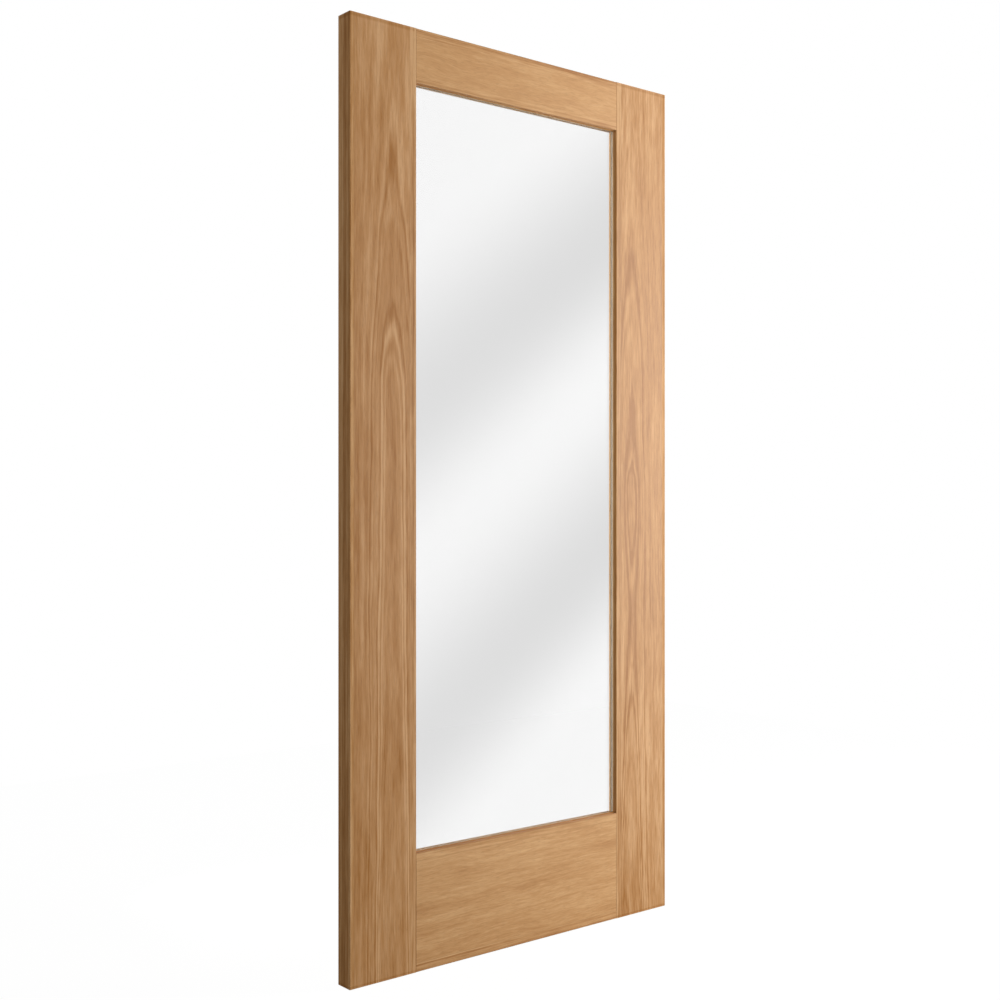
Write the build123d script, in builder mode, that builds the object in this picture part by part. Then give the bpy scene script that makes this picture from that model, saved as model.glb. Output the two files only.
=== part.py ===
from build123d import *
import os

os.makedirs("parts", exist_ok=True)

# Leaf, in millimetres. X runs from the hinge edge, Y from front (-) to back (+), Z up from the foot.
leafWidth = 915.0
leafHeight = 1981.0
leafThickness = 44.0
frontFace = -leafThickness / 2
backFace = leafThickness / 2

# Framing
stileWidth = 165.5
topRailHeight = 114.0
bottomRailHeight = 250.0
veneerThickness = 0.8
frontVeneerDepth = (frontFace, frontFace + veneerThickness)
coreDepth = (frontFace + veneerThickness, backFace - veneerThickness)
backVeneerDepth = (backFace - veneerThickness, backFace)
outerLipping = 10.0  # solid oak on the two long edges
stileInnerLipping = 16.0  # solid oak beside the glass, full height
railInnerLipping = 16.0  # solid oak above and below the glass
railOuterLipping = 18.0  # solid oak at the head and the foot
outerArris = 1.5
glassArris = 1.0

# Opening at the faces, and the rebate behind its front lip
openingLeft = stileWidth
openingRight = leafWidth - stileWidth
openingFoot = bottomRailHeight
openingHead = leafHeight - topRailHeight
frontLip = 4.5
rebate = 6.5
backBevel = 8.5  # splays the opening out to the back face

# Glazing, from front to back
frontBeadCover = 9.0  # from the rebate's wall over the glass
backBeadCover = 8.5
frontBeadDepth = 5.5
backBeadDepth = 12.0
tapeThickness = 2.0
tapeSetBack = 1.0
glassThickness = 8.0
glassPlay = 1.5
frontBeadFront = frontFace + frontLip
frontTapeFront = frontBeadFront + frontBeadDepth
glassFront = frontTapeFront + tapeThickness
backTapeFront = glassFront + glassThickness
backBeadFront = backTapeFront + tapeThickness
backBeadBack = backBeadFront + backBeadDepth
frontSplay = (2.0, 4.0)  # taken off the bead's face and off its side
backSplay = (7.5, 7.5)


def save(piece, name):
    piece.part.label = name
    export_step(piece.part, f"parts/{name}.step")


def makeBlock(name, x, y, z):
    # a squared board between the pairs of limits x, y and z
    with BuildPart() as block:
        with BuildSketch(Plane.XY.offset(z[0])):
            with Locations((sum(x) / 2, sum(y) / 2)):
                Rectangle(x[1] - x[0], y[1] - y[0])
        extrude(amount=z[1] - z[0])
    save(block, name)


def makeLipping(name, x, z, arrisAxis, arrisAt, arris, rebated):
    # a solid oak lipping with its arrises at arrisAt eased, rebated where it holds the glass
    with BuildPart() as lipping:
        with BuildSketch(Plane.XY.offset(z[0])):
            with Locations((sum(x) / 2, 0)):
                Rectangle(x[1] - x[0], leafThickness)
        extrude(amount=z[1] - z[0])
        if rebated:
            for widen, depth, taper in (
                (rebate, leafThickness - frontLip, 0),
                (rebate + backBevel, backBevel, 45),
            ):
                with BuildSketch(Plane.XZ.offset(-backFace)):
                    with Locations((leafWidth / 2, (openingFoot + openingHead) / 2)):
                        Rectangle(
                            openingRight - openingLeft + 2 * widen,
                            openingHead - openingFoot + 2 * widen,
                        )
                extrude(amount=depth, taper=taper, mode=Mode.SUBTRACT)
        run = Axis.X if arrisAxis == Axis.Z else Axis.Z
        edges = lipping.edges().filter_by(run).filter_by_position(arrisAxis, arrisAt - 0.01, arrisAt + 0.01)
        onFaces = edges.filter_by_position(Axis.Y, frontFace - 0.01, frontFace + 0.01)
        if not rebated:
            onFaces += edges.filter_by_position(Axis.Y, backFace - 0.01, backFace + 0.01)
        fillet(onFaces, arris)
    save(lipping, name)


for side, outer, inner, mirrorSign in (
    ("hinge", 0.0, openingLeft, 1),
    ("latch", leafWidth, openingRight, -1),
):
    boards = sorted((outer + mirrorSign * outerLipping, inner - mirrorSign * stileInnerLipping))
    fullHeight = (0.0, leafHeight)
    makeBlock(f"{side}_stile_core", boards, coreDepth, fullHeight)
    makeBlock(f"{side}_stile_front_veneer", boards, frontVeneerDepth, fullHeight)
    makeBlock(f"{side}_stile_back_veneer", boards, backVeneerDepth, fullHeight)
    outerBand = sorted((outer, outer + mirrorSign * outerLipping))
    makeLipping(f"{side}_stile_outer_lipping", outerBand, fullHeight, Axis.X, outer, outerArris, False)
    innerBand = sorted((inner - mirrorSign * stileInnerLipping, inner))
    makeLipping(f"{side}_stile_inner_lipping", innerBand, fullHeight, Axis.X, inner, glassArris, True)

betweenStiles = (openingLeft, openingRight)
for rail, foot, head, glassAbove in (
    ("bottom_rail", 0.0, openingFoot, True),
    ("top_rail", openingHead, leafHeight, False),
):
    lowerLipping = railOuterLipping if glassAbove else railInnerLipping
    upperLipping = railInnerLipping if glassAbove else railOuterLipping
    boards = (foot + lowerLipping, head - upperLipping)
    makeBlock(f"{rail}_core", betweenStiles, coreDepth, boards)
    makeBlock(f"{rail}_front_veneer", betweenStiles, frontVeneerDepth, boards)
    makeBlock(f"{rail}_back_veneer", betweenStiles, backVeneerDepth, boards)
    for place, band, outward in (
        ("lower", (foot, boards[0]), foot),
        ("upper", (boards[1], head), head),
    ):
        byGlass = (place == "upper") == glassAbove
        arris = glassArris if byGlass else outerArris
        makeLipping(f"{rail}_{place}_lipping", betweenStiles, band, Axis.Z, outward, arris, byGlass)

with BuildPart() as glass:
    held = rebate - glassPlay
    with BuildSketch(Plane.XZ.offset(-glassFront)):
        with Locations((leafWidth / 2, (openingFoot + openingHead) / 2)):
            Rectangle(openingRight - openingLeft + 2 * held, openingHead - openingFoot + 2 * held)
    extrude(amount=-glassThickness)
save(glass, "glass_pane")

# Corners of the rebate, joined by the mitres to those of the clear sight
outLeft, outRight = openingLeft - rebate, openingRight + rebate
outFoot, outHead = openingFoot - rebate, openingHead + rebate
for place, near, far, cover, splay in (
    ("front", frontBeadFront, frontTapeFront, frontBeadCover, frontSplay),
    ("back", backBeadBack, backBeadFront, backBeadCover, backSplay),
):
    inLeft, inRight = outLeft + cover, outRight - cover
    inFoot, inHead = outFoot + cover, outHead - cover
    sides = {
        "head": ((outLeft, outHead), (outRight, outHead), (inRight, inHead), (inLeft, inHead)),
        "foot": ((outLeft, outFoot), (outRight, outFoot), (inRight, inFoot), (inLeft, inFoot)),
        "hinge": ((outLeft, outFoot), (outLeft, outHead), (inLeft, inHead), (inLeft, inFoot)),
        "latch": ((outRight, outFoot), (outRight, outHead), (inRight, inHead), (inRight, inFoot)),
    }
    for side, corners in sides.items():
        innerMiddle = [(corners[2][i] + corners[3][i]) / 2 for i in (0, 1)]
        with BuildPart() as bead:
            with BuildSketch(Plane.XZ.offset(-near)):
                Polygon(*corners, align=None)
            extrude(amount=near - far)
            shown = bead.edges().sort_by_distance((innerMiddle[0], near, innerMiddle[1]))[0]
            face = bead.faces().sort_by(Axis.Y)[0 if near < far else -1]
            chamfer(shown, splay[0], splay[1], reference=face)
        save(bead, f"{place}_bead_{side}")

for place, near, cover in (
    ("front", frontTapeFront, frontBeadCover),
    ("back", backTapeFront, backBeadCover),
):
    tapeWidth = cover - tapeSetBack
    depth = (near, near + tapeThickness)
    makeBlock(f"{place}_tape_head", (outLeft, outRight), depth, (outHead - tapeWidth, outHead))
    makeBlock(f"{place}_tape_foot", (outLeft, outRight), depth, (outFoot, outFoot + tapeWidth))
    between = (outFoot + tapeWidth, outHead - tapeWidth)
    makeBlock(f"{place}_tape_hinge", (outLeft, outLeft + tapeWidth), depth, between)
    makeBlock(f"{place}_tape_latch", (outRight - tapeWidth, outRight), depth, between)
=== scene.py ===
from functools import partial
from math import radians
import bpy
import numpy as np
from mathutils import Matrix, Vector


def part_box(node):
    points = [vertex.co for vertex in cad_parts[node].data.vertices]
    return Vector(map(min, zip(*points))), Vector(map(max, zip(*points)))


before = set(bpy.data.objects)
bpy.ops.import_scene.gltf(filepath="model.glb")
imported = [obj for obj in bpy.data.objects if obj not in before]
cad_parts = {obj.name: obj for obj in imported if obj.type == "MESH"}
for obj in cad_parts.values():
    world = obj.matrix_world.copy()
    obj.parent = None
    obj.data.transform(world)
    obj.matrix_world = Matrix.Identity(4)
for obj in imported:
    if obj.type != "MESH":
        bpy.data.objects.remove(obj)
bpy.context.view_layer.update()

print("leaf loaded:", len(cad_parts), "pieces")


def linear(hexText):
    # sRGB hex to a linear colour with full alpha
    parts = [int(hexText[i:i + 2], 16) / 255 for i in (0, 2, 4)]
    return tuple(p / 12.92 if p <= 0.04045 else ((p + 0.055) / 1.055) ** 2.4 for p in parts) + (1.0,)


def addNode(tree, kind, settings=None, links=None):
    # lower-case settings are the node's own, the others and numbers are sockets; links feed sockets
    node = tree.nodes.new(kind)
    for key, value in (settings or {}).items():
        if isinstance(key, str) and key[0].islower():
            setattr(node, key, value)
        else:
            node.inputs[key].default_value = value
    for key, source in (links or {}).items():
        output = source.outputs[0] if isinstance(source, bpy.types.Node) else source
        tree.links.new(output, node.inputs[key])
    return node


def newMaterial(name):
    # an empty material, and what puts nodes into it
    material = bpy.data.materials.new(name)
    material.use_nodes = True
    material.node_tree.nodes.clear()
    return material, partial(addNode, material.node_tree)


def dress(node, material):
    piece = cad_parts[node]
    if not piece.material_slots:
        piece.data.materials.append(material)
    for slot in piece.material_slots:
        slot.material = material


def limits(node):
    # the lowest and the highest corner of a piece, in mm
    return [[round(1000 * float(value), 2) for value in corner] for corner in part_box(node)]


# Camera: level, at half the leaf's height, 39 degrees round to the hinge side
view = {
    "place": (-1.5243, -2.3551, 0.9911),
    "turn": -39.408,
    "focus": 1370.7,  # focal length in pixels of a picture this wide
    "width": 1000,
    "sensor": 36,
}
camera = bpy.data.objects.new("camera", bpy.data.cameras.new("camera"))
camera.location = view["place"]
camera.rotation_euler = (radians(90), 0, radians(view["turn"]))
camera.data.sensor_width = view["sensor"]
camera.data.lens = view["sensor"] * view["focus"] / view["width"]
bpy.context.collection.objects.link(camera)
bpy.context.scene.camera = camera
bpy.context.scene.view_settings.view_transform = "Standard"
print("camera set")

# Studio: a broad lamp beyond the latch side and one behind, an even fill, and soft slanting bands that only
# polished faces mirror
studio = {
    "lamps": {
        "lamp": {
            "place": (3.2, -1.9, 1.33), "aim": (0.45, 0.0, 1.05), "size": (0.8, 2.6),
            "spread": 180, "watts": 168, "mirrored": True,
        },
        "rear lamp": {
            "place": (0.06, 0.8, 1.2), "aim": (0.75, 0.0, 1.0), "size": (0.16, 2.2),
            "spread": 120, "watts": 13, "mirrored": False,
        },
    },
    "fillHinge": 0.68,  # from the hinge side, less from the latch side and least from above and below
    "fillLatch": 0.0,
    "fillAbove": 0.22,  # as a share of the level fill
    "bandPeriod": 0.72,  # metres up the pane, as the photographed camera sees it mirrored
    "bandSlope": 0.75,
    "bandPeak": 0.700,
    "bandMean": 1.24,
    "bandSwing": 1.13,
    "bandLean": 0.27,  # how much sooner a band dims below its peak than above it
    "bandFade": (0.1, 0.4),  # a ray that runs along the pane meets no band
    "leastAhead": 0.05,  # keeps such a ray's division sound
    "floorGrey": "A0A09E",
    "floorGlow": 1.07,
    "glowShare": 0.92,
    "floorX": (-2.4, 3.4),
    "floorY": (-2.4, 2.4),
}
for name, lamp in studio["lamps"].items():
    light = bpy.data.lights.new(name, "AREA")
    light.shape = "RECTANGLE"
    light.size, light.size_y = lamp["size"]
    light.spread = radians(lamp["spread"])
    light.energy = lamp["watts"]
    stand = bpy.data.objects.new(name, light)
    stand.location = lamp["place"]
    east, north, rise = np.array(lamp["aim"]) - np.array(lamp["place"])
    tilt = np.arctan2(np.hypot(east, north), -rise)
    stand.rotation_euler = (tilt, 0, np.arctan2(north, east) - np.pi / 2)
    stand.visible_camera = stand.visible_transmission = False
    stand.visible_glossy = lamp["mirrored"]
    bpy.context.collection.objects.link(stand)

world = bpy.data.worlds.new("studio")
bpy.context.scene.world = world
world.use_nodes = True
world.node_tree.nodes.clear()
put = partial(addNode, world.node_tree)
path = put("ShaderNodeLightPath")
ray = put("ShaderNodeTexCoord")
way = put("ShaderNodeSeparateXYZ", links={0: ray.outputs["Generated"]})
# a point of the pane lies at eye + reach * (across, up), so a band there is height - slope * width
side = put("ShaderNodeMath", {"operation": "ABSOLUTE"}, {0: way.outputs["Y"]})
ahead = put("ShaderNodeMath", {"operation": "MAXIMUM", 1: studio["leastAhead"]}, {0: side})
across = put("ShaderNodeMath", {"operation": "DIVIDE"}, {0: way.outputs["X"], 1: ahead})
up = put("ShaderNodeMath", {"operation": "DIVIDE"}, {0: way.outputs["Z"], 1: ahead})
slant = put("ShaderNodeMath", {"operation": "MULTIPLY_ADD", 1: -studio["bandSlope"]}, {0: across, 2: up})
eyeX, eyeY, eyeZ = view["place"]
reach = limits("glass_pane")[0][1] / 1000 - eyeY
shift = eyeZ - studio["bandSlope"] * eyeX - studio["bandPeak"]
turn = 2 * np.pi / studio["bandPeriod"]
wave = put("ShaderNodeMath", {"operation": "MULTIPLY_ADD", 1: turn * reach, 2: turn * shift}, {0: slant})
# beyond the peaks above and below the middle one it stays bright
wave = put("ShaderNodeClamp", {"Min": -2 * np.pi, "Max": 2 * np.pi}, {0: wave})
even = put("ShaderNodeMath", {"operation": "COSINE"}, {0: wave})
lag = -studio["bandLean"] / 2
lean = put("ShaderNodeMath", {"operation": "MULTIPLY_ADD", 1: lag, 2: lag}, {0: even})
leant = put("ShaderNodeMath", links={0: wave, 1: lean})
band = put("ShaderNodeMath", {"operation": "COSINE"}, {0: leant})
fadeFrom, fadeTo = studio["bandFade"]
grow = {"interpolation_type": "SMOOTHSTEP", 1: fadeFrom, 2: fadeTo, 3: 0.0, 4: studio["bandSwing"]}
fade = put("ShaderNodeMapRange", grow, {0: side})
bands = put("ShaderNodeMath", {"operation": "MULTIPLY_ADD", 2: studio["bandMean"]}, {0: band, 1: fade})
# the background is white wherever it is seen, straight, through the glass or mirrored
sharp = path.outputs["Is Singular Ray"]
mirror = put("ShaderNodeMath", {"operation": "MULTIPLY"}, {0: path.outputs["Is Glossy Ray"], 1: sharp})
direct = {0: path.outputs["Is Camera Ray"], 1: path.outputs["Is Transmission Ray"]}
seen = put("ShaderNodeMath", {"operation": "MAXIMUM"}, direct)
seen = put("ShaderNodeMath", {"operation": "MAXIMUM"}, {0: seen, 1: mirror})
fill = {1: -1.0, 2: 1.0, 3: studio["fillHinge"], 4: studio["fillLatch"]}
level = put("ShaderNodeMapRange", fill, {0: way.outputs["X"]})
steep = put("ShaderNodeMath", {"operation": "MULTIPLY"}, {0: way.outputs["Z"], 1: way.outputs["Z"]})
steep = put("ShaderNodeMapRange", {3: 1.0, 4: studio["fillAbove"]}, {0: steep})
soft = put("ShaderNodeMath", {"operation": "MULTIPLY"}, {0: level, 1: steep})
plain = put("ShaderNodeMix", {"data_type": "FLOAT", 3: 1.0}, {0: seen, 2: soft})
# a ray that polished glass has mirrored meets the bands
once = {"operation": "MULTIPLY", "use_clamp": True}
polished = put("ShaderNodeMath", once, {0: path.outputs["Glossy Depth"], 1: sharp})
strength = put("ShaderNodeMix", {"data_type": "FLOAT"}, {0: polished, 2: plain, 3: bands})
backdrop = put("ShaderNodeBackground", {"Color": (1, 1, 1, 1)}, {"Strength": strength})
put("ShaderNodeOutputWorld", links={0: backdrop})

# Floor: pale, glowing enough to read white and still take the leaf's shadow; what is mirrored passes it, so
# the pane shows the studio's bands all the way down
left, right = studio["floorX"]
near, far = studio["floorY"]
floorMesh = bpy.data.meshes.new("floor")
corners = [(left, near, 0), (right, near, 0), (right, far, 0), (left, far, 0)]
floorMesh.from_pydata(corners, [], [(0, 1, 2, 3)])
floor = bpy.data.objects.new("floor", floorMesh)
bpy.context.collection.objects.link(floor)
floorPaint, put = newMaterial("pale floor")
path = put("ShaderNodeLightPath")
direct = {0: path.outputs["Is Camera Ray"], 1: path.outputs["Is Transmission Ray"]}
seen = put("ShaderNodeMath", {"operation": "MAXIMUM"}, direct)
seen = put("ShaderNodeMath", {"operation": "MAXIMUM"}, {0: seen, 1: path.outputs["Is Glossy Ray"]})
paint = put("ShaderNodeBsdfDiffuse", {"Color": linear(studio["floorGrey"])})
glow = put("ShaderNodeMath", {"operation": "MULTIPLY", 1: studio["glowShare"]}, {0: seen})
shine = put("ShaderNodeEmission", {"Strength": studio["floorGlow"]})
lit = put("ShaderNodeMixShader", links={0: glow, 1: paint, 2: shine})
mirrored = put("ShaderNodeMath", {"operation": "MINIMUM", 1: 1.0}, {0: path.outputs["Glossy Depth"]})
gone = put("ShaderNodeBsdfTransparent")
surface = put("ShaderNodeMixShader", links={0: mirrored, 1: lit, 2: gone})
put("ShaderNodeOutputMaterial", links={0: surface})
floorMesh.materials.append(floorPaint)
print("studio lit")


def millimetres(put):
    # the piece's own coordinates in mm, whole and split into X, Y and Z
    place = put("ShaderNodeTexCoord")
    mm = put("ShaderNodeVectorMath", {"operation": "SCALE", "Scale": 1000.0}, {0: place.outputs["Object"]})
    return mm, put("ShaderNodeSeparateXYZ", links={0: mm})


def distanceFrom(put, source, at):
    # |source - at|
    gap = put("ShaderNodeMath", {"operation": "SUBTRACT", 1: at}, {0: source})
    return put("ShaderNodeMath", {"operation": "ABSOLUTE"}, {0: gap})


def fallOff(share, half, full=0.0):
    # settings of a smooth fall: the whole share up to full, nothing from half on
    return {"interpolation_type": "SMOOTHSTEP", 1: full, 2: half, 3: share, 4: 0.0}


def woodColours(put, tone, tones, ends):
    # a ramp from dark through the middle to light
    colours = put("ShaderNodeValToRGB", links={0: tone})
    ramp = colours.color_ramp
    for i, at in enumerate(ends):
        ramp.elements[i].position = at
        ramp.elements[i].color = linear(tones[2 * i])
    ramp.elements.new(0.5).color = linear(tones[1])
    return colours


# Oak. The figure is a log's growth rings cut by the face: a point's ring is its distance from the pith,
# sqrt((across - heart)^2 + (through + depth(along))^2), and where the pith dives the rings close in arches.
oakTones = {
    "natural": ("9D6830", "B58452", "CB9E70"),
    "pale": ("A87545", "C39462", "D9AE7D"),
    "solid": ("966430", "B38250", "CB9F70"),
}
# sizes in mm across, through and along the fibres; shares are parts of the way from dark to light
oakGrain = {
    "sway": (10.0, (90.0, 90.0, 460.0)),
    "ripple": (1.8, (10.0, 10.0, 110.0)),
    "ring": (7.0, 0.6),  # width of a band of rings and its share
    "streaks": ((8.0, 8.0, 260.0), 0.42),
    "threads": ((2.6, 2.6, 42.0), 0.66),
    "flecks": ((11.0, 11.0, 85.0), 0.68),
    "drift": ((46.0, 46.0, 380.0), 0.75),
    "toneEnds": (0.05, 0.95),
    "year": (2.8, 0.03),  # width of a year's growth, and how much darker its porous spring wood is
    "springPart": 0.5,  # of the year's width
    "pores": (1.0, 1.0, 15.0),  # real pores are 0.3 mm wide, drawn wider so that they show
    "poreEdge": (0.55, 0.72),  # noise below is plain wood, above is open pore
    "poreDark": 0.13,
    "jointLine": (0.3, 2.2),  # full to this far from the joint, gone at that
    "jointDark": 0.11,
    "endDark": 0.34,  # end grain drinks the lacquer
    "endTurn": (0.6, 0.9),  # how squarely a face has to cut the fibres to count as end grain
    "gloss": (0.44, 0.54),
    "shine": 0.2,
    "relief": (0.22, 0.0002),
}
curveTop = 100.0  # mm of depth that the top of the pith's curve stands for


def pithDepth(put, grain, along, through):
    # how far a point lies from the pith through the leaf: its depth under the face plus the pith's own, which
    # follows a curve through the dictionary's points
    low, high = grain["span"]
    level = put("ShaderNodeMapRange", {1: low, 2: high}, {0: along})
    dive = put("ShaderNodeFloatCurve", links={1: level})
    spots = [((at - low) / (high - low), depth / curveTop) for at, depth in grain["depth"]]
    curve = dive.mapping.curves[0]
    while len(curve.points) < len(spots):
        curve.points.new(0.5, 0.5)
    for point, spot in zip(curve.points, spots):
        point.location = spot
    dive.mapping.update()
    inward = put("ShaderNodeMath", {"operation": "SUBTRACT", 1: grain["face"]}, {0: through})
    return put("ShaderNodeMath", {"operation": "MULTIPLY_ADD", 1: curveTop}, {0: dive, 2: inward})


def oakDarkening(put, grain, axes, radius, pores):
    # the larger of pores with spring wood and a joint's line, plus end grain
    year, springDark = grain["year"]
    years = put("ShaderNodeMath", {"operation": "DIVIDE", 1: year}, {0: radius})
    growth = put("ShaderNodeMath", {"operation": "FRACT"}, {0: years})
    spring = put("ShaderNodeMapRange", fallOff(springDark, grain["springPart"]), {0: growth})
    dark = put("ShaderNodeMath", {"operation": "MULTIPLY_ADD", 1: grain["poreDark"]}, {0: pores, 2: spring})
    full, gone = grain["jointLine"]
    for axis, at in grain.get("joints", ()):
        away = distanceFrom(put, axes.outputs[axis], at)
        line = put("ShaderNodeMapRange", fallOff(grain["jointDark"], gone, full), {0: away})
        dark = put("ShaderNodeMath", {"operation": "MAXIMUM"}, {0: dark, 1: line})
    facing = put("ShaderNodeNewGeometry")
    normal = put("ShaderNodeSeparateXYZ", links={0: facing.outputs["Normal"]})
    square = put("ShaderNodeMath", {"operation": "ABSOLUTE"}, {0: normal.outputs[grain["along"]]})
    aslant, cut = grain["endTurn"]
    ends = put("ShaderNodeMapRange", {1: aslant, 2: cut, 3: 0.0, 4: grain["endDark"]}, {0: square})
    return put("ShaderNodeMath", links={0: dark, 1: ends})


def makeOak(name, look):
    # crown-cut or straight oak under satin lacquer: soft nested arches, long streaks, short dark pores
    grain = {**oakGrain, **look}
    material, put = newMaterial(name)
    axes = millimetres(put)[1]
    along, across = (axes.outputs[axis] for axis in ("XZ" if grain["along"] == "X" else "ZX"))
    through = axes.outputs["Y"]
    seed = grain["seed"]

    def mottle(fibre, sizes, offset, detail):
        # noise whose cells measure sizes, read from this board's own part of the log
        part = (seed + offset, 2.7 * seed, 1.3 * seed + offset)
        own = {"Location": part, "Scale": [1 / size for size in sizes]}
        cloud = {"Scale": 1.0, "Detail": detail, "Roughness": 0.5}
        return put("ShaderNodeTexNoise", cloud, {"Vector": put("ShaderNodeMapping", own, {0: fibre})})

    def swing(by, noise):
        # noise turned into a move of up to by, either way
        return put("ShaderNodeMath", {"operation": "MULTIPLY_ADD", 1: 2 * by, 2: -by}, {0: noise})

    # fibres sway a little to either side, and the rings ripple on their own
    straight = put("ShaderNodeCombineXYZ", links={0: across, 1: through, 2: along})
    sway, swaySizes = grain["sway"]
    swayed = put("ShaderNodeMath", links={0: across, 1: swing(sway, mottle(straight, swaySizes, 0, 1))})
    fibre = put("ShaderNodeCombineXYZ", links={0: swayed, 1: through, 2: along})
    offHeart = put("ShaderNodeMath", {"operation": "SUBTRACT", 1: grain["heart"]}, {0: swayed})
    spoke = put("ShaderNodeCombineXYZ", links={0: offHeart, 1: pithDepth(put, grain, along, through)})
    length = put("ShaderNodeVectorMath", {"operation": "LENGTH"}, {0: spoke})
    ripple, rippleSizes = grain["ripple"]
    fine = swing(ripple, mottle(fibre, rippleSizes, 5, 2))
    radius = put("ShaderNodeMath", links={0: length.outputs["Value"], 1: fine})

    # tone starts in the middle, and each pattern moves it by share * (pattern - 0.5)
    width, ringShare = grain["ring"]
    count = put("ShaderNodeMath", {"operation": "MULTIPLY_ADD", 1: 1 / width, 2: seed}, {0: radius})
    rings = put("ShaderNodeTexNoise", {"noise_dimensions": "1D", "Scale": 1.0, "Detail": 1.0}, {"W": count})
    patterns = [(rings, ringShare)]
    for kind, offset in (("streaks", 11), ("threads", 31), ("flecks", 43), ("drift", 17)):
        sizes, share = grain[kind]
        patterns.append((mottle(fibre, sizes, offset, 2), share))
    start = 0.5 - sum(share for pattern, share in patterns) / 2
    tone = put("ShaderNodeMath", {"operation": "MULTIPLY_ADD", 1: ringShare, 2: start}, {0: rings})
    for pattern, share in patterns[1:]:
        tone = put("ShaderNodeMath", {"operation": "MULTIPLY_ADD", 1: share}, {0: pattern, 2: tone})
    # single rings and patches that stand out, and painted light and shade laid on by place: (what it is
    # measured on, where, half width, share)
    for what, at, half, share in grain.get("marks", ()):
        away = distanceFrom(put, radius if what == "ring" else axes.outputs[what], at)
        lift = put("ShaderNodeMapRange", fallOff(share, half), {0: away})
        tone = put("ShaderNodeMath", links={0: tone, 1: lift})
    # smudges of closed grain: (across, along, half width, half length, share)
    unsteady = put("ShaderNodeMath", links={0: across, 1: fine})
    for acrossAt, alongAt, wide, long, share in grain.get("smudges", ()):
        aside = {"operation": "MULTIPLY_ADD", 1: 1 / wide, 2: -acrossAt / wide}
        ahead = {"operation": "MULTIPLY_ADD", 1: 1 / long, 2: -alongAt / long}
        both = {0: put("ShaderNodeMath", aside, {0: unsteady}), 1: put("ShaderNodeMath", ahead, {0: along})}
        spot = put("ShaderNodeCombineXYZ", links=both)
        away = put("ShaderNodeVectorMath", {"operation": "LENGTH"}, {0: spot})
        lift = put("ShaderNodeMapRange", fallOff(share, 1.0), {0: away.outputs["Value"]})
        tone = put("ShaderNodeMath", links={0: tone, 1: lift})
    colours = woodColours(put, tone, grain["tones"], grain["toneEnds"])

    closed, opened = grain["poreEdge"]
    pores = put("ShaderNodeMapRange", {1: closed, 2: opened}, {0: mottle(fibre, grain["pores"], 23, 1)})
    dark = oakDarkening(put, grain, axes, radius, pores)
    keep = put("ShaderNodeMath", {"operation": "SUBTRACT", 0: 1.0}, {1: dark})
    shaded = put("ShaderNodeVectorMath", {"operation": "SCALE"}, {0: colours, "Scale": keep})

    # dark wood takes a little more polish, and pores sink
    low, high = grain["gloss"]
    rough = put("ShaderNodeMapRange", {1: 0.2, 2: 0.8, 3: low, 4: high}, {0: tone})
    relief = put("ShaderNodeMath", {"operation": "MULTIPLY_ADD", 1: -1.0}, {0: pores, 2: tone})
    strength, height = grain["relief"]
    bump = put("ShaderNodeBump", {"Strength": strength, "Distance": height}, {"Height": relief})
    lacquered = {"IOR": 1.5, "Specular IOR Level": grain["shine"]}
    grained = {"Base Color": shaded, "Roughness": rough, "Normal": bump}
    put("ShaderNodeOutputMaterial", links={0: put("ShaderNodeBsdfPrincipled", lacquered, grained)})
    return material


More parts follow.
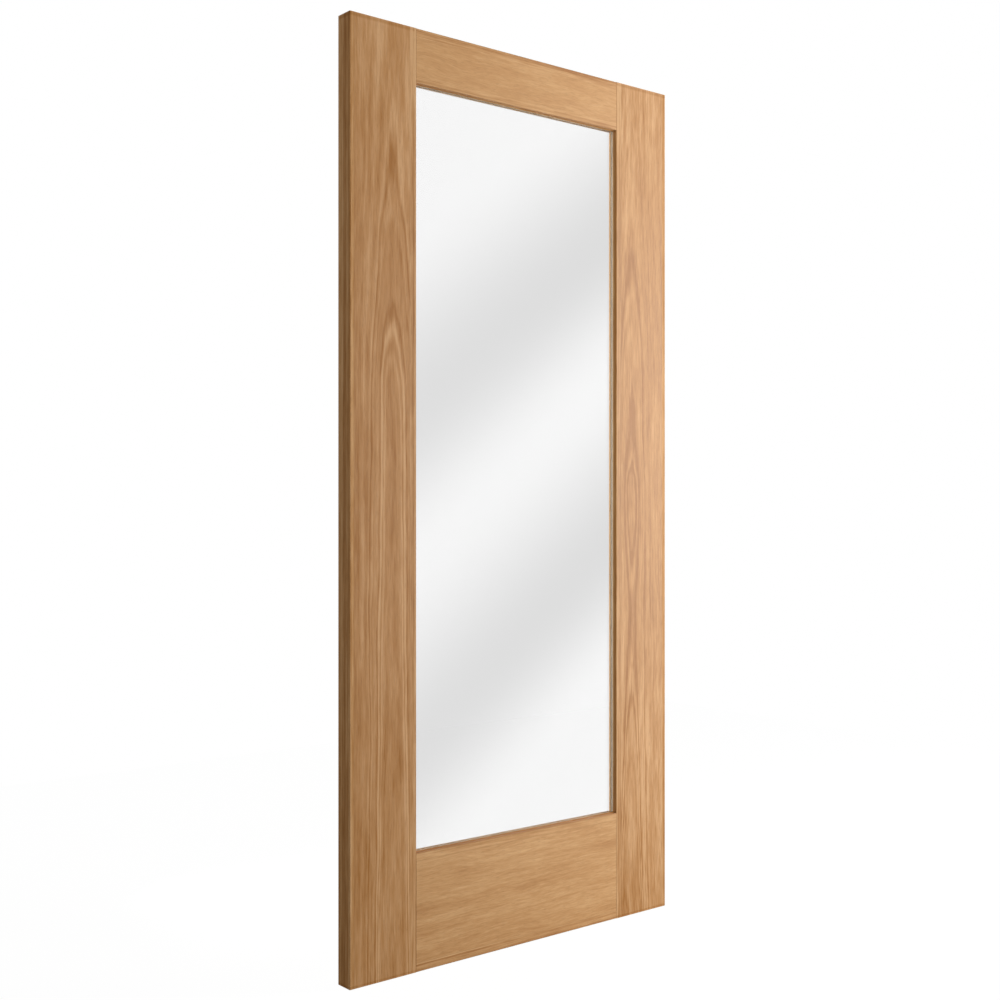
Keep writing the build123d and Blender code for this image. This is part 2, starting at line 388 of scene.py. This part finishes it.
lowest, highest = limits("hinge_stile_core")
stileSpan = (lowest[2], highest[2])
lowest, highest = limits("bottom_rail_core")
railSpan = (lowest[0], highest[0])
arrisShade = (("Z", 4.0, 3.5, -0.26), ("Z", 1976.0, 6.0, -0.30))  # painted shade: darker along the foot and the head, where the eased arrises lie in shade
veneers = {
    "hinge_stile_front_veneer": {
        "along": "Z", "heart": 106.0, "seed": 3.1,
        "depth": ((0, 36), (400, 40.5), (750, 43.9), (1217, 47.3), (1278, 50), (1340, 54), (1420, 59.5),
                  (1550, 65.5), (1631, 70.0), (1745, 73.0), (1981, 82)),
        "marks": (("ring", 72.0, 1.9, -0.42), ("ring", 67.6, 1.6, 0.20), ("ring", 57.6, 1.4, -0.22),
                  ("ring", 54.4, 2.0, 0.46), ("ring", 50.4, 1.8, 0.34), ("ring", 45.4, 2.6, -0.22),
                  # the Z marks are painted light and shade along the height: lighter towards the head and the
                  # foot, darker about mid-height
                  ("Z", 1981, 420, 0.14), ("Z", 1250, 450, -0.09), ("Z", 0, 240, 0.08), ("X", 10, 16, -0.10)),
        "smudges": ((100, 1690, 7, 80, -0.22), (118, 858, 20, 36, -0.12), (71, 158, 7, 30, -0.16),
                    (140, 110, 16, 170, -0.34)),
        "ring": (7.0, 0.46), "streaks": ((8.0, 8.0, 260.0), 0.32), "year": (2.8, 0.015),
    },
    "hinge_stile_back_veneer": {
        "along": "Z", "heart": 62.0, "seed": 8.6,
        "depth": ((0, 70), (500, 58), (900, 47), (1300, 44), (1981, 60)),
        "marks": (("ring", 50.0, 1.8, 0.34), ("ring", 54.0, 1.8, -0.3), ("ring", 62.0, 2.0, 0.26)),
        "flecks": ((9.0, 9.0, 110.0), 0.42), "streaks": ((7.0, 7.0, 300.0), 0.55),
    },
    "latch_stile_front_veneer": {
        "along": "Z", "heart": 801.0, "seed": 5.4,
        "depth": ((0, 30), (150, 35), (300, 40), (450, 45), (585, 48.5), (720, 50), (860, 47.5), (1000, 44.5),
                  (1080, 48), (1150, 51), (1240, 52), (1298, 53.7), (1486, 62), (1700, 70), (1981, 80)),
        "marks": (("ring", 65.0, 1.6, -0.24), ("ring", 62.0, 2.2, 0.44), ("ring", 51.6, 1.6, -0.48),
                  ("ring", 48.9, 1.2, 0.24), ("ring", 47.3, 1.3, -0.46), ("ring", 43.0, 2.2, -0.24),
                  # the Z marks are painted light and shade along the height: lighter towards the head and the
                  # foot, darker about mid-height
                  ("Z", 1981, 500, 0.18), ("Z", 1300, 700, -0.13), ("Z", 330, 420, 0.24)),
        "smudges": ((786, 1818, 6, 34, -0.34), (797, 1634, 9, 60, -0.26), (810, 1190, 6, 66, -0.22),
                    (812, 1020, 8, 44, -0.16), (803, 862, 10, 14, -0.28), (803, 596, 12, 16, -0.24),
                    (820, 377, 6, 26, -0.28), (776, 40, 14, 70, -0.22)),
        "threads": ((2.6, 2.6, 42.0), 0.95), "flecks": ((11.0, 11.0, 85.0), 0.95),
    },
    "latch_stile_back_veneer": {
        "along": "Z", "heart": 850.0, "seed": 12.2,
        "depth": ((0, 38), (600, 44), (1100, 55), (1981, 80)),
        "marks": (("ring", 46.0, 1.8, 0.30), ("ring", 52.0, 2.0, -0.32), ("ring", 60.0, 2.0, 0.28)),
        "flecks": ((9.0, 9.0, 110.0), 0.42), "streaks": ((7.0, 7.0, 300.0), 0.55),
    },
    "top_rail_front_veneer": {
        "along": "X", "heart": 2090.0, "seed": 1.7, "depth": ((165.5, 30), (749.5, 30)),
        "ring": (7.0, 0.06), "streaks": ((6.0, 6.0, 90.0), 0.08), "threads": ((2.4, 2.4, 20.0), 0.37),
        "flecks": ((10.0, 10.0, 60.0), 0.38), "drift": ((34.0, 34.0, 200.0), 0.36), "year": (2.8, 0.012),
        "sway": (11.0, (60.0, 60.0, 170.0)), "jointDark": 0.04,
    },
    "top_rail_back_veneer": {
        "along": "X", "heart": 1800.0, "seed": 6.9, "depth": ((165.5, 30), (749.5, 44)),
        "ring": (7.0, 0.4), "flecks": ((9.0, 9.0, 90.0), 0.32), "drift": ((34.0, 34.0, 260.0), 0.4),
        "jointDark": 0.04,
    },
    "bottom_rail_front_veneer": {
        "along": "X", "heart": -120.0, "seed": 4.4, "depth": ((165.5, 60), (749.5, 20)),
        "ring": (7.0, 0.22), "streaks": ((6.0, 6.0, 120.0), 0.22), "threads": ((2.4, 2.4, 26.0), 0.60),
        "flecks": ((10.0, 10.0, 70.0), 0.28), "drift": ((40.0, 40.0, 340.0), 0.72), "year": (2.8, 0.024),
        "sway": (11.0, (60.0, 60.0, 190.0)),
    },
    "bottom_rail_back_veneer": {
        "along": "X", "heart": 130.0, "seed": 9.3, "depth": ((165.5, 38), (450, 48), (749.5, 64)),
        "ring": (7.0, 0.5), "flecks": ((9.0, 9.0, 90.0), 0.32), "drift": ((34.0, 34.0, 260.0), 0.4),
    },
}
for node, look in veneers.items():
    lowest, highest = limits(node)
    onRail = look["along"] == "X"
    # a glue line runs where a lipping or a stile adjoins: on both sides, and on a rail above and below too
    look["joints"] = [(axis, corner["XYZ".index(axis)]) for axis in ("XZ" if onRail else "X")
                      for corner in (lowest, highest)]
    look["span"] = railSpan if onRail else stileSpan
    look["marks"] = look.get("marks", ()) + arrisShade
    look["face"] = lowest[1] if "front" in node else highest[1]
    look["tones"] = oakTones["pale" if onRail else "natural"]
    dress(node, makeOak("crown-cut oak veneer, " + node.replace("_", " "), look))
print("veneers figured")

# Lippings and beads are solid straight-grained oak: the pith lies far outside the strip. Some marks are
# painted light and shade: the dark marks in the quirk between lipping and front bead are painted shade.
stripMarks = {
    # the X mark is a painted highlight along the front arris
    "hinge_stile_outer_lipping": (("Y", -3.5, 8.0, -0.30), ("Y", 12.0, 9.0, 0.12), ("X", 4.5, 4.5, 0.32)),
    # lighter towards the head and the foot: painted light along the height
    "hinge_stile_inner_lipping": (("Z", 1981.0, 300.0, 0.5), ("Z", 0.0, 260.0, 0.16)),
    # lighter towards the head: painted light along the height; the dark Y mark: painted shade on the reveal
    # wall by the quirk
    "latch_stile_inner_lipping": (("Z", 1981.0, 300.0, 0.4), ("Y", -18.5, 3.4, -0.5)),
    "latch_stile_outer_lipping": (("X", 907.0, 4.0, 0.18),),
    "bottom_rail_lower_lipping": (("Z", 14.0, 3.0, -0.24),),
    # painted shade in the quirk at the foot of the opening
    "bottom_rail_upper_lipping": (("Z", 250.0, 2.6, -0.5),),
    # painted shade in the quirk beside the front beads
    "front_bead_head": (("Y", -18.0, 6.0, -0.5),),
    "front_bead_foot": (("Y", -18.0, 6.0, -0.7),),
    "front_bead_latch": (("Y", -18.0, 5.0, -0.5),),
    # painted light: the back beads are lightened where they lie in shade behind the glass
    "back_bead_head": (("Z", 1870.0, 40.0, 0.35),),
    "back_bead_latch": (("X", 750.0, 40.0, 0.44),),
}
strips = [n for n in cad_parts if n.endswith("_lipping") or "_bead_" in n]
for count, node in enumerate(sorted(strips)):
    lowest, highest = limits(node)
    onRail = "rail" in node or node.endswith(("head", "foot"))
    across = 2 if onRail else 0
    middle = (lowest[across] + highest[across]) / 2
    span = railSpan if onRail else stileSpan
    look = {
        "along": "X" if onRail else "Z",
        "span": span,
        "heart": middle - 90.0 if count % 2 else middle + 110.0,
        "depth": ((span[0], 70), (span[1], 78)),
        "face": 0.0,
        "ring": (5.0, 0.8),
        "seed": 20.0 + 3.7 * count,
        "sway": (3.0, (80.0, 80.0, 500.0)),
        "streaks": ((3.0, 3.0, 300.0), 0.8),
        "drift": ((22.0, 22.0, 600.0), 0.8),
        "tones": oakTones["pale" if onRail or "_bead_" in node else "solid"],
        "shine": 0.06 if node.endswith("outer_lipping") else 0.2,
        "marks": stripMarks.get(node, ()) + arrisShade,
    }
    dress(node, makeOak("solid oak strip, " + node.replace("_", " "), look))
print("lippings and beads grained")

# Core: sawn softwood staves glued side by side, seen only at the head and the foot
core = {
    "stave": 28.0,  # mm wide
    "year": 2.6,
    "tones": ("B08A5E", "C9A77A", "DCC194"),
    "pithAside": 60.0,  # how far chance puts a stave's pith to the side and below
    "pithBelow": 90.0,
    "pithStep": 17.0,  # further aside with each stave
    "fur": 0.35,  # saw marks per mm
    "chanceShare": 0.45,
    "yearShare": -0.35,
    "glueLine": (0.48, 0.495),  # from a stave's middle, as a part of its width
    "glueTone": 0.6,
    "rough": 0.75,
    "relief": (0.4, 0.0003),
}


def makeCore(name, along):
    # matt bands of alternate tone, with ring arcs across their end grain and thin glue lines between
    material, put = newMaterial(name)
    mm, axes = millimetres(put)
    across = axes.outputs["Z" if along == "X" else "X"]
    stave = put("ShaderNodeMath", {"operation": "DIVIDE", 1: core["stave"]}, {0: across})
    number = put("ShaderNodeMath", {"operation": "FLOOR"}, {0: stave})
    inStave = put("ShaderNodeMath", {"operation": "FRACT"}, {0: stave})
    chance = put("ShaderNodeTexWhiteNoise", {"noise_dimensions": "1D"}, {"W": number}).outputs["Value"]
    # ring arcs: distance from a pith that lies off each stave, on a side chosen by chance
    aside = {"operation": "MULTIPLY_ADD", 1: core["pithAside"]}
    under = {"operation": "MULTIPLY_ADD", 1: core["pithBelow"]}
    sideways = put("ShaderNodeMath", aside, {0: chance, 2: across})
    below = put("ShaderNodeMath", under, {0: chance, 2: axes.outputs["Y"]})
    step = put("ShaderNodeMath", {"operation": "MULTIPLY", 1: core["pithStep"]}, {0: number})
    sideways = put("ShaderNodeMath", {"operation": "SUBTRACT"}, {0: sideways, 1: step})
    spoke = put("ShaderNodeCombineXYZ", links={0: sideways, 1: below})
    radius = put("ShaderNodeVectorMath", {"operation": "LENGTH"}, {0: spoke})
    years = put("ShaderNodeMath", {"operation": "DIVIDE", 1: core["year"]}, {0: radius.outputs["Value"]})
    growth = put("ShaderNodeMath", {"operation": "FRACT"}, {0: years})
    fur = put("ShaderNodeTexNoise", {"Scale": core["fur"], "Detail": 4.0}, {"Vector": mm})
    byStave = {"operation": "MULTIPLY_ADD", 1: core["chanceShare"]}
    byYear = {"operation": "MULTIPLY_ADD", 1: core["yearShare"]}
    tone = put("ShaderNodeMath", byStave, {0: chance, 2: fur})
    tone = put("ShaderNodeMath", byYear, {0: growth, 2: tone})
    colours = woodColours(put, tone, core["tones"], (0.0, 1.0))
    wood, line = core["glueLine"]
    centred = distanceFrom(put, inStave, 0.5)
    glue = put("ShaderNodeMapRange", {1: wood, 2: line, 3: 1.0, 4: core["glueTone"]}, {0: centred})
    shaded = put("ShaderNodeVectorMath", {"operation": "SCALE"}, {0: colours, "Scale": glue})
    strength, height = core["relief"]
    bump = put("ShaderNodeBump", {"Strength": strength, "Distance": height}, {"Height": fur})
    matt = {"Roughness": core["rough"], "IOR": 1.5}
    sawn = put("ShaderNodeBsdfPrincipled", matt, {"Base Color": shaded, "Normal": bump})
    put("ShaderNodeOutputMaterial", links={0: sawn})
    return material


for node in ("hinge_stile_core", "latch_stile_core", "top_rail_core", "bottom_rail_core"):
    dress(node, makeCore("sawn stave core, " + node.replace("_", " "), "X" if "rail" in node else "Z"))

# Tapes: closed-cell glazing foam, matt pale cream with fine cells, drawn at three times their real 0.3 mm so
# that they show
foam = {"tones": ("F5E3D0", "FBEFE0"), "cell": 0.9, "rough": 0.85, "relief": (0.3, 0.0002)}
tape, put = newMaterial("closed-cell glazing foam")
place = put("ShaderNodeTexCoord")
cells = put("ShaderNodeTexVoronoi", {"Scale": 1000 / foam["cell"]}, {"Vector": place.outputs["Object"]})
dome = cells.outputs["Distance"]
colours = put("ShaderNodeValToRGB", links={0: dome})
for element, hexText in zip(colours.color_ramp.elements, foam["tones"]):
    element.color = linear(hexText)
strength, height = foam["relief"]
bump = put("ShaderNodeBump", {"Strength": strength, "Distance": height}, {"Height": dome})
matt = {"Roughness": foam["rough"], "IOR": 1.5}
skin = put("ShaderNodeBsdfPrincipled", matt, {"Base Color": colours, "Normal": bump})
put("ShaderNodeOutputMaterial", links={0: skin})
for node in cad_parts:
    if "_tape_" in node:
        dress(node, tape)

# Glass: toughened float, clear with a faint neutral grey in its depth; lamps pass through it
glass = {"tint": "E7E7E7", "shade": "E6E8E6", "rough": 0.0, "ior": 1.52}
pane, put = newMaterial("toughened clear float glass")
path = put("ShaderNodeLightPath")
lamplight = {0: path.outputs["Is Shadow Ray"], 1: path.outputs["Is Diffuse Ray"]}
passing = put("ShaderNodeMath", {"operation": "MAXIMUM"}, lamplight)
polish = {"Roughness": glass["rough"], "IOR": glass["ior"], "Transmission Weight": 1.0}
clear = put("ShaderNodeBsdfPrincipled", {"Base Color": linear(glass["tint"]), **polish})
through = put("ShaderNodeBsdfTransparent", {"Color": linear(glass["shade"])})
mix = put("ShaderNodeMixShader", links={0: passing, 1: clear, 2: through})
put("ShaderNodeOutputMaterial", links={0: mix})
dress("glass_pane", pane)
print("core, tapes and glass dressed")
